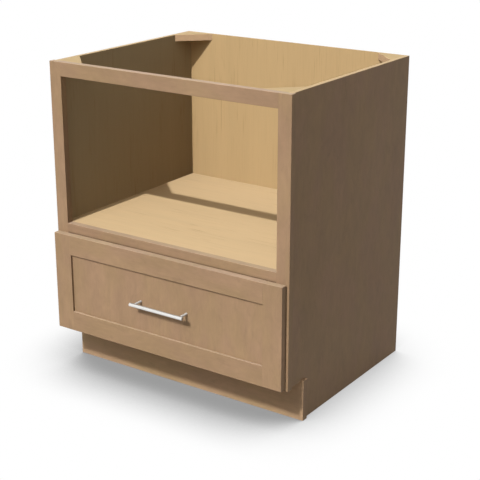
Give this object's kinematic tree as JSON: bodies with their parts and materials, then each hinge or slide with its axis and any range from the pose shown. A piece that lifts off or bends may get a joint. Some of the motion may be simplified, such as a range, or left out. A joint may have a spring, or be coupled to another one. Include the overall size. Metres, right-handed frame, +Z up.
{
  "type": "microwave base cabinet",
  "caption": "Face-frame base cabinet with an open microwave bay over a full-extension drawer with a flat recessed-panel front and a bar pull.",
  "frame": {"origin": "on the floor, at the middle of the footprint that runs from the front of the pull to the back panel", "axes": "+X to the right seen from the front, +Y from the drawer front to the back panel, +Z up"},
  "size_m": [0.762, 0.664, 0.8763],
  "materials": {
    "stained_maple": "satin stained maple",
    "maple_laminate": "satin natural maple laminate",
    "bare_maple": "sanded maple",
    "drawer_maple": "clear-coated solid maple",
    "zinc_steel": "zinc-plated steel",
    "brushed_nickel": "brushed nickel",
    "clear_rubber": "soft clear rubber"
  },
  "bodies": {
    "cabinet": {"frame_stile_left": "stained_maple", "frame_stile_right": "stained_maple", "top_rail": "stained_maple", "mid_rail": "stained_maple", "bottom_rail": "stained_maple", "side_panel_left": "stained_maple", "side_panel_right": "stained_maple", "back_panel": "maple_laminate", "microwave_shelf": "maple_laminate", "cabinet_floor": "maple_laminate", "toe_board": "stained_maple", "corner_brace_front_left": "bare_maple", "corner_brace_front_right": "bare_maple", "corner_brace_back_left": "bare_maple", "corner_brace_back_right": "bare_maple", "cabinet_member_left": "zinc_steel", "cabinet_member_right": "zinc_steel", "rear_bracket_left": "zinc_steel", "rear_bracket_right": "zinc_steel", "frame_screw_left": "zinc_steel", "frame_screw_right": "zinc_steel", "bracket_screw_left_lower": "zinc_steel", "bracket_screw_left_upper": "zinc_steel", "bracket_screw_right_lower": "zinc_steel", "bracket_screw_right_upper": "zinc_steel"},
    "drawer": {"front_stile_left": "stained_maple", "front_stile_right": "stained_maple", "front_rail_top": "stained_maple", "front_rail_bottom": "stained_maple", "front_panel": "stained_maple", "box_side_left": "drawer_maple", "box_side_right": "drawer_maple", "box_front": "drawer_maple", "box_back": "drawer_maple", "box_bottom": "maple_laminate", "drawer_member_left": "zinc_steel", "drawer_member_right": "zinc_steel", "pull_bar": "brushed_nickel", "pull_post_left": "brushed_nickel", "pull_post_right": "brushed_nickel", "bumper_left_lower": "clear_rubber", "bumper_left_upper": "clear_rubber", "bumper_right_lower": "clear_rubber", "bumper_right_upper": "clear_rubber", "box_screw_left_front": "zinc_steel", "box_screw_left_back": "zinc_steel", "box_screw_right_front": "zinc_steel", "box_screw_right_back": "zinc_steel", "front_screw_left": "zinc_steel", "front_screw_right": "zinc_steel", "pull_screw_left": "zinc_steel", "pull_screw_right": "zinc_steel"},
    "middle_members": {"middle_member_left": "zinc_steel", "middle_member_right": "zinc_steel"},
    "outer_cages": {"outer_ball_cage_left": "zinc_steel", "outer_ball_cage_right": "zinc_steel"},
    "inner_cages": {"inner_ball_cage_left": "zinc_steel", "inner_ball_cage_right": "zinc_steel"}
  },
  "joints": [
    {"name": "drawer_travel", "type": "slide", "parent": "cabinet", "child": "drawer", "axis": [0, -1, 0], "range_m": [0, 0.55]},
    {"name": "middle_member_travel", "type": "slide", "parent": "cabinet", "child": "middle_members", "axis": [0, -1, 0], "range_m": [0, 0.2755]},
    {"name": "outer_cage_travel", "type": "slide", "parent": "cabinet", "child": "outer_cages", "axis": [0, -1, 0], "range_m": [0, 0.138]},
    {"name": "inner_cage_travel", "type": "slide", "parent": "cabinet", "child": "inner_cages", "axis": [0, -1, 0], "range_m": [0, 0.413]}
  ],
  "couplings": [
    {"joint": "middle_member_travel", "follows": "drawer_travel", "ratio": 0.5},
    {"joint": "outer_cage_travel", "follows": "drawer_travel", "ratio": 0.25},
    {"joint": "inner_cage_travel", "follows": "drawer_travel", "ratio": 0.75}
  ]
}
